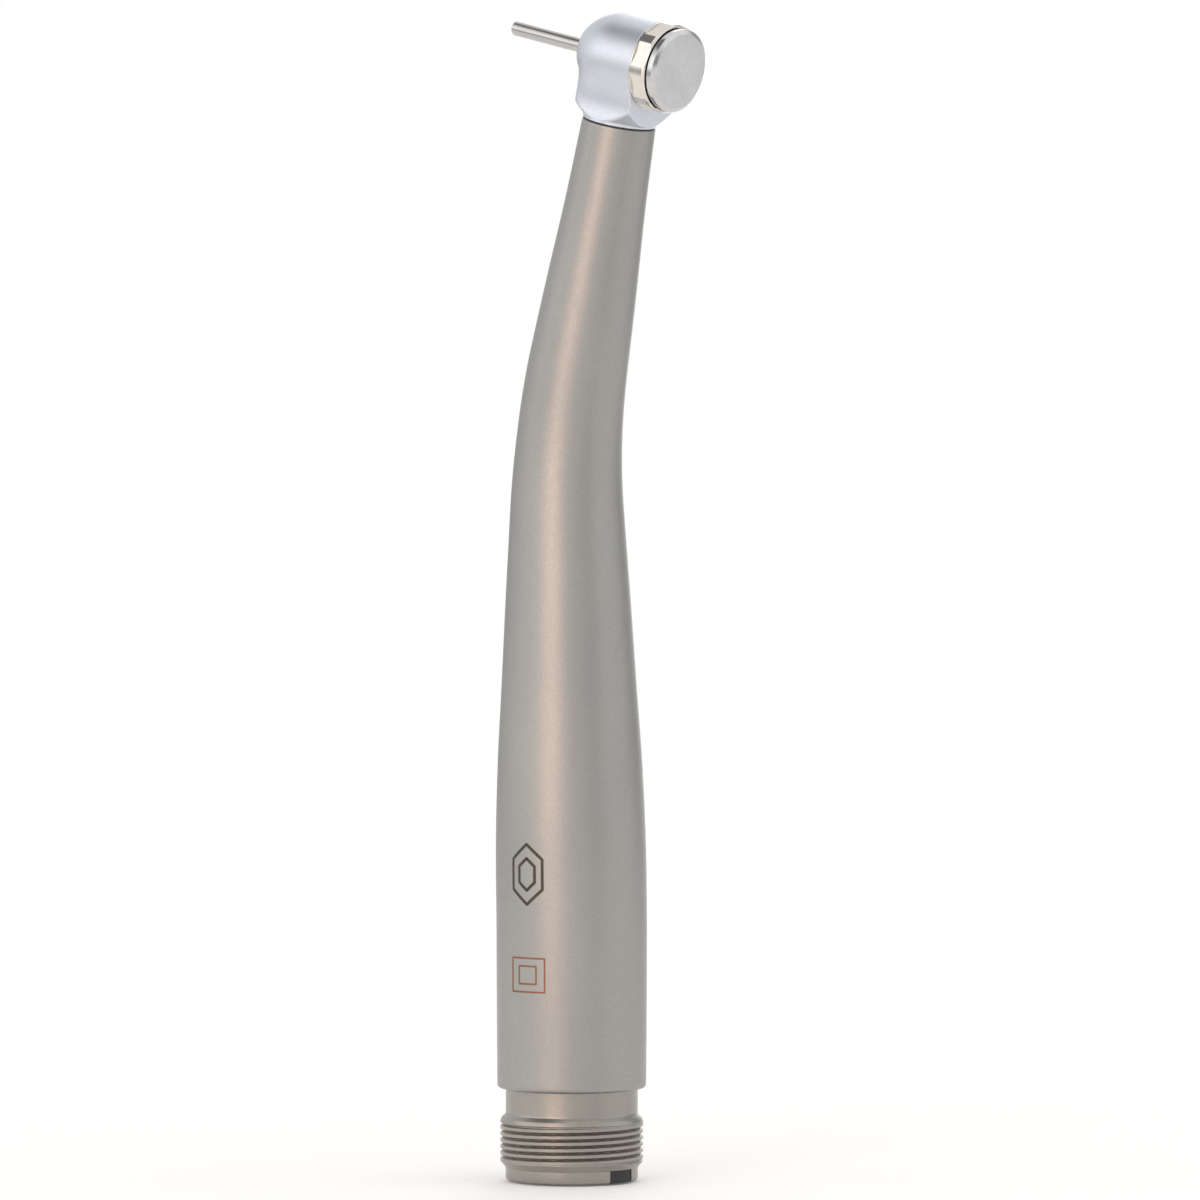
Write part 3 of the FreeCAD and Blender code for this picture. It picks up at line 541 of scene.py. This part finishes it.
def net(distance, low, high, step):
    """A closed quad mesh of the surface where distance is nought: one point in each cell that the surface crosses."""
    axes = [np.arange(a, b + step, step) for a, b in zip(low, high)]
    field = distance(np.stack(np.meshgrid(*axes, indexing="ij"), -1)).astype(np.float32)
    inside = field < 0
    count = np.zeros([n - 1 for n in field.shape], np.uint8)
    corners = [(i, j, k) for i in (0, 1) for j in (0, 1) for k in (0, 1)]
    for i, j, k in corners:
        count += inside[i:count.shape[0] + i, j:count.shape[1] + j, k:count.shape[2] + k]
    cells = np.argwhere((count > 0) & (count < 8))
    total, hits = np.zeros((len(cells), 3)), np.zeros((len(cells), 1))
    for a in corners:
        for axis in range(3):
            if a[axis]:
                continue
            b = tuple(v + (n == axis) for n, v in enumerate(a))
            fa = field[tuple((cells + a).T)]
            fb = field[tuple((cells + b).T)]
            cross = (fa < 0) != (fb < 0)
            share = np.where(cross, fa / np.where(cross, fa - fb, 1), 0)[:, None]
            spot = np.array(a) + share * (np.array(b) - np.array(a))
            total += np.where(cross[:, None], spot, 0)
            hits += cross[:, None]
    points = (cells + total / hits) * step + np.array(low)
    index = np.full(count.shape, -1, np.int64)
    index[tuple(cells.T)] = np.arange(len(cells))
    quads = []
    for axis in range(3):
        u, v = (axis + 1) % 3, (axis + 2) % 3
        near = [slice(1, -1)] * 3
        far = [slice(1, -1)] * 3
        near[axis], far[axis] = slice(0, -1), slice(1, None)
        starts = inside[tuple(near)]
        flips = np.argwhere(starts != inside[tuple(far)])
        outward = starts[tuple(flips.T)]
        base = flips + np.array([0 if n == axis else 1 for n in range(3)])
        loop = []
        for du, dv in ((-1, -1), (0, -1), (0, 0), (-1, 0)):
            cell = base.copy()
            cell[:, u] += du
            cell[:, v] += dv
            loop.append(index[tuple(cell.T)])
        quad = np.stack(loop, -1)
        quads.append(np.where(outward[:, None], quad, quad[:, ::-1]))
    return points, np.concatenate(quads)


def make_head_shell():
    """The net of the distance function, its points then moved onto the true surface."""
    step = 0.09
    points, faces = net(head_distance, (-5.3, -5.5, -6.0), (14.6, 5.5, 4.7), step)
    for _ in range(2):
        slope = gradient(head_distance, points)
        size = np.maximum((slope ** 2).sum(-1, keepdims=True), 0.2)
        points = points - np.clip(head_distance(points)[:, None] * slope / size, -step, step)
    slope = gradient(head_distance, points, 0.02)
    slope /= np.maximum(np.linalg.norm(slope, axis=1, keepdims=True), 1e-6)
    turned = slope[:, :1] * DOWN + slope[:, 1:2] * Y_DIR + slope[:, 2:3] * TO_CAP
    piece = make_piece("head_shell_body", in_head(points), faces, "housing",
                       MATERIALS["satin_head"], None, turned)
    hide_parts("head_shell")


make_head_shell()


# ------------------------------------------------------------------ cap ring and push button

RING_R = 4.79
RING_FLANGE_END, RING_LIP_R = 4.335, 4.57


def wrench_flats(angle, radius, z):
    """Eight flats on the ring, between its flange and its bevelled lip."""
    apothem, count, first = 4.6, 8, math.radians(26.0)
    step = 2 * math.pi / count
    turn = (angle - first + step / 2) % step - step / 2
    flat = apothem / np.cos(turn)
    cut = (z > RING_FLANGE_END) & (radius > RING_LIP_R)
    return np.where(cut, np.minimum(radius, flat), radius)


def make_cap_ring():
    rear, recess, bevel_start = 6.2, 4.56, 5.9
    outline = [(4.18, 1.3), (4.18, 4.11)]
    outline += [(4.7, 4.11), (4.77, 4.13)]
    outline += [(RING_R, z) for z in (4.17, 4.29, RING_FLANGE_END, 4.336, *np.linspace(4.36, bevel_start, 24))]
    outline += [(RING_R - 0.17 * s ** 1.3, bevel_start + 0.28 * s) for s in np.linspace(0.05, 1, 20)]
    outline += [(4.605, rear - 0.005), (4.59, rear), (4.575, rear), (recess, rear - 0.015), (recess, 5.52),
                (2.56, 5.52), (2.56, 4.75), (3.15, 4.75), (3.15, 3.7), (3.24, 3.68), (3.24, 1.3)]
    piece = lathe("cap_ring_body", outline, in_head, "housing", MATERIALS["polished_nickel"],
                  720, 24, wrench_flats)
    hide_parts("cap_ring")


def make_push_button():
    outline = disc_outline([(0, 4.35), (2.5, 4.35), (2.5, 4.42), (2.25, 4.42), (2.25, 4.66), (2.5, 4.66), (2.5, 6.06),
                            (3.3, 6.06), (3.3, 6.61), (4.25, 6.61), (4.25, 6.06), (4.44, 6.06),
                            (4.45, 6.95, 0.05), (4.01, 7.2, 0.04), (0, 7.2)])
    piece = lathe("push_button_body", rounded(outline, 0.03, 4), in_head, "button",
                  MATERIALS["brushed_button"], 192, 40)
    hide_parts("push_button")


def make_test_bar():
    outline = disc_outline([(0, -16.0), (0.66, -16.0, 0.05), (0.8, -15.82, 0.06), (0.8, 2.8, 0.05), (0.65, 2.95),
                            (0, 2.95)])
    piece = lathe("test_bar_rod", rounded(outline, 0.02, 4), in_head, "bar", MATERIALS["bar_steel"], 64,
                  50)
    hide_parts("test_bar")


def make_spring(node, radius, wire, low, high, turns):
    """A wound spring about the bar's axis."""
    rows, columns, end_coil = int(turns * 48), 12, 0.1
    share = np.linspace(0.0, 1.0, rows)
    climb = np.clip((share * turns - 0.5) / (turns - 1.0), 0, 1)
    middle = low + wire + (high - low - 2 * wire) * climb
    a = 2 * math.pi * turns * share
    b = np.arange(columns) * 2 * math.pi / columns
    reach = radius + wire * np.cos(b)[None]
    points = np.stack([reach * np.cos(a)[:, None], reach * np.sin(a)[:, None],
                       middle[:, None] + wire * np.sin(b)[None]], -1).reshape(-1, 3)
    faces = grid_faces(rows, columns).tolist()
    faces += [list(range(columns))[::-1], list(range((rows - 1) * columns, rows * columns))]
    piece = make_piece(node + "_wire", in_head(points), faces, None, MATERIALS["spring_steel"], 50)
    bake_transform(piece)
    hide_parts(node)


make_cap_ring()
make_push_button()
make_test_bar()
make_spring("button_spring", 3.775, 0.09, 5.54, 6.59, 2.6)
make_spring("chuck_spring", 0.98, 0.08, 1.92, 3.2, 4.5)


# ------------------------------------------------------------------ rear connector

THREAD_R = 7.62
THREAD_DEPTH = 0.42 * 0.75
THREAD_PITCH = 0.69
THREAD_START, THREAD_END = 2.0, 6.2
THREAD_LEAD_IN, THREAD_RUN_OUT = 0.3, 0.25
THREAD_FLANKS, THREAD_FLAT = 0.62, 1.12        # share of the pitch under the flanks, and how flat the crest is
NOTCH_HALF, NOTCH_TOP = math.radians(14.5), 1.35


def thread_radius(angle, radius, z):
    """The helix of the thread, which runs out at both ends."""
    turn = (z / THREAD_PITCH - angle / (2 * math.pi)) % 1.0
    rise = np.clip((0.5 - np.abs(turn - 0.5)) * 2 / THREAD_FLANKS, 0, 1)
    crest = np.clip(rise * THREAD_FLAT, 0, 1)
    low = np.clip((z - THREAD_START) / THREAD_LEAD_IN, 0, 1)
    high = np.clip((THREAD_END - z) / THREAD_RUN_OUT, 0, 1)
    cut = THREAD_DEPTH * (1 - crest) * low * high
    return np.where(radius > THREAD_R - 0.001, radius - cut, radius)


def make_connector():
    outline = [(5.65, 0.05), (5.75, 0.0), (6.8, 0.0), (6.93, 0.04), (7.02, 0.13), (7.05, 0.25), (7.05, 1.28),
               (7.1, 1.36), (7.55, 1.92)]
    outline += [(THREAD_R, z) for z in np.arange(THREAD_START, 6.24, 0.023)]
    outline += [(7.61, 6.26), (7.51, 6.58), (7.47, 6.66), (7.1, 6.98), (7.05, 7.06), (7.04, 7.2), (7.04, 9.7),
                (7.18, 9.78), (7.18, 17.0), (5.65, 17.0)]
    piece = lathe("connector_body", outline, upright, "housing", MATERIALS["satin_connector"],
                  240, 30, thread_radius)
    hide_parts("rear_connector")
    cut_notch(piece)


def cut_notch(piece):
    """The key notch in the rim, cut with a block that spans a small angle about +X."""
    arc = np.linspace(-NOTCH_HALF, NOTCH_HALF, 12)
    ring = [(r * math.cos(a), r * math.sin(a)) for r, a in [(9.0, a) for a in arc] + [(4.0, a) for a in arc[::-1]]]
    count = len(ring)
    points = np.array([(x, y, z) for z in (-1.0, NOTCH_TOP) for x, y in ring])
    faces = [list(range(count))[::-1], list(range(count, 2 * count))]
    faces += [[k, (k + 1) % count, (k + 1) % count + count, k + count] for k in range(count)]
    mesh = bpy.data.meshes.new("notch")
    mesh.from_pydata((points * MM).tolist(), [], faces)
    cutter = bpy.data.objects.new("notch", mesh)
    bpy.context.scene.collection.objects.link(cutter)
    cut = piece.modifiers.new("notch", "BOOLEAN")
    cut.operation, cut.object, cut.solver = "DIFFERENCE", cutter, "EXACT"
    bpy.context.view_layer.objects.active = piece
    bpy.context.view_layer.update()
    with bpy.context.temp_override(object=piece, active_object=piece, selected_objects=[piece]):
        bpy.ops.object.modifier_apply(modifier="notch")
    bpy.data.objects.remove(cutter)
    piece.data.set_sharp_from_angle(angle=math.radians(30))


make_connector()


# ------------------------------------------------------------------ materials on the CAD nodes that stay

for entry in RECORD["subparts"]:
    node = frame["nodes"][entry["node"]]
    if not node.hide_render:
        node.data.materials.clear()
        node.data.materials.append(MATERIALS[entry["material_slot"]])


# ------------------------------------------------------------------ floor, light and camera

FLOOR_R, FLOOR_FADE_START = 0.8, 0.25          # in metres


def make_floor():
    """A pale disc that fades out at its edge, so that no horizon shows."""
    n = Nodes("floor")
    radius = n.add("ShaderNodeVectorMath", {0: n.place}, operation="LENGTH").outputs["Value"]
    fade = n.add("ShaderNodeMapRange", {"Value": radius, "From Min": FLOOR_FADE_START,
                                               "From Max": FLOOR_R})
    grain = n.noise(3.0)
    n.finish(n.blend(n.ramp(grain, 0, 1), (0.93, 0.93, 0.93), (0.91, 0.91, 0.91)), 0.8)
    n.shader.inputs["Emission Color"].default_value = (1, 1, 1, 1)
    n.shader.inputs["Emission Strength"].default_value = 0.1
    clear = n.add("ShaderNodeBsdfTransparent")
    mix = n.add("ShaderNodeMixShader", {0: fade.outputs["Result"], 1: n.shader.outputs[0], 2: clear.outputs[0]})
    n.tree.links.new(mix.outputs[0], n.tree.nodes["Material Output"].inputs["Surface"])
    mesh = bpy.data.meshes.new("floor")
    ring = [(FLOOR_R * math.cos(a), FLOOR_R * math.sin(a), 0)
            for a in np.linspace(0, 2 * math.pi, 64, endpoint=False)]
    mesh.from_pydata(ring, [], [list(range(len(ring)))])
    mesh.materials.append(n.material)
    floor = bpy.data.objects.new("floor", mesh)
    floor.location.z = cad_low.z - 0.0002
    bpy.context.scene.collection.objects.link(floor)


def direction(azimuth_left, elevation):
    """A unit vector from the object, so many degrees to the left of the camera and above the horizon."""
    a = CAMERA_AZIMUTH - math.radians(azimuth_left)
    e = math.radians(elevation)
    return Vector((math.sin(a) * math.cos(e), -math.cos(a) * math.cos(e), math.sin(e)))


# The studio as the shiny metal sees it: degrees to the left of the camera, elevation, half width, half height,
# softness of the edge, brightness and colour. Each patch lies over the ones before it.
STUDIO = (
    ("ceiling", 0, 90, 180, 33, 10, 1.1, (1.0, 0.97, 0.94)),
    ("key_softbox", 78, 18, 28, 15, 7, 1.5, (1.0, 1.0, 1.0)),
    ("gap_below_key", 78, -8, 30, 6, 5, 0.5, (1.0, 1.0, 1.0)),
    ("gap_above_key", 88, 60, 44, 13, 7, 0.22, (1.02, 0.98, 1.05)),
    ("right_softbox", -88, 22, 34, 13, 8, 1.15, (0.98, 0.99, 1.0)),
    ("dark_stand", -40, -3, 11, 10, 7, 0.4, (1.0, 0.99, 0.96)),
    ("warm_strip", 31, -2, 14, 40, 13, 2.95, (1.0, 0.76, 0.67)),
    ("dark_rear", 160, -12, 26, 12, 10, 0.3, (1.0, 1.0, 1.0)),
    ("rear_strip", -172, 4, 10, 50, 10, 2.2, (1.0, 0.98, 0.95)),
    ("rear_shade", -132, 2, 14, 40, 12, 0.45, (1.0, 1.0, 1.0)),
)
STUDIO_WALLS = 0.88


def make_world():
    """The studio's patches round the object, and plain white where the camera looks past it."""
    world = bpy.data.worlds.new("studio")
    bpy.context.scene.world = world
    world.use_nodes = True
    tree = world.node_tree
    background = tree.nodes["Background"]
    place = tree.nodes.new("ShaderNodeTexCoord").outputs["Generated"]

    def calc(operation, *values):
        node = tree.nodes.new("ShaderNodeMath")
        node.operation = operation
        for k, value in enumerate(values):
            if isinstance(value, bpy.types.NodeSocket):
                tree.links.new(value, node.inputs[k])
            else:
                node.inputs[k].default_value = value
        return node.outputs[0]

    def along(axis):
        node = tree.nodes.new("ShaderNodeVectorMath")
        node.operation = "DOT_PRODUCT"
        tree.links.new(place, node.inputs[0])
        node.inputs[1].default_value = axis
        return node.outputs["Value"]

    def within(value, middle, half, soft):
        """1 where a value is within half of the middle, falling smoothly to 0 over twice soft round that edge."""
        ease = tree.nodes.new("ShaderNodeMapRange")
        ease.interpolation_type = "SMOOTHSTEP"
        off = calc("ABSOLUTE", calc("SUBTRACT", value, middle))
        tree.links.new(off, ease.inputs["Value"])
        ease.inputs["From Min"].default_value = half + soft
        ease.inputs["From Max"].default_value = max(half - soft, 0)
        return ease.outputs["Result"]

    left = calc("DEGREES", calc("ARCTAN2", along(direction(90, 0)), along(direction(0, 0))))
    up = calc("DEGREES", calc("ARCSINE", along((0, 0, 1))))
    color = tree.nodes.new("ShaderNodeRGB").outputs[0]
    color.default_value = (STUDIO_WALLS, STUDIO_WALLS, STUDIO_WALLS, 1)
    for _, azimuth, elevation, half_width, half_height, soft, level, tint in STUDIO:
        share = within(up, elevation, half_height, soft)
        if half_width < 180:
            turn = calc("WRAP", left, azimuth + 180, azimuth - 180)
            share = calc("MULTIPLY", share, within(turn, azimuth, half_width, soft))
        mix = tree.nodes.new("ShaderNodeMix")
        mix.data_type = "RGBA"
        tree.links.new(share, mix.inputs[0])
        tree.links.new(color, mix.inputs[6])
        mix.inputs[7].default_value = (*(level * c for c in tint), 1)
        color = mix.outputs[2]
    seen = tree.nodes.new("ShaderNodeMix")
    seen.data_type = "RGBA"
    tree.links.new(tree.nodes.new("ShaderNodeLightPath").outputs["Is Camera Ray"], seen.inputs[0])
    tree.links.new(color, seen.inputs[6])
    seen.inputs[7].default_value = (1, 1, 1, 1)
    tree.links.new(seen.outputs[2], background.inputs["Color"])


def make_camera():
    """A long lens from a little above, at the angle the handpiece is seen from."""
    distance, elevation, span = 1.4, 3.0, 0.12766
    aside, aim_height, sensor = 0.00301, 0.0618, 36.0
    right = Vector((math.cos(CAMERA_AZIMUTH), math.sin(CAMERA_AZIMUTH), 0))
    target = right * aside + Vector((0, 0, aim_height))
    back = direction(0, elevation)
    data = bpy.data.cameras.new("camera")
    data.sensor_width = sensor
    data.lens = sensor / 2 / (span / 2 / distance)
    data.clip_start, data.clip_end = 0.01, 100
    camera = bpy.data.objects.new("camera", data)
    camera.rotation_mode = "QUATERNION"
    camera.location = target + back * distance
    camera.rotation_quaternion = (-back).to_track_quat("-Z", "Y")
    bpy.context.scene.collection.objects.link(camera)
    bpy.context.scene.camera = camera


make_floor()
make_world()
make_camera()
bpy.context.scene.view_settings.view_transform = "Standard"
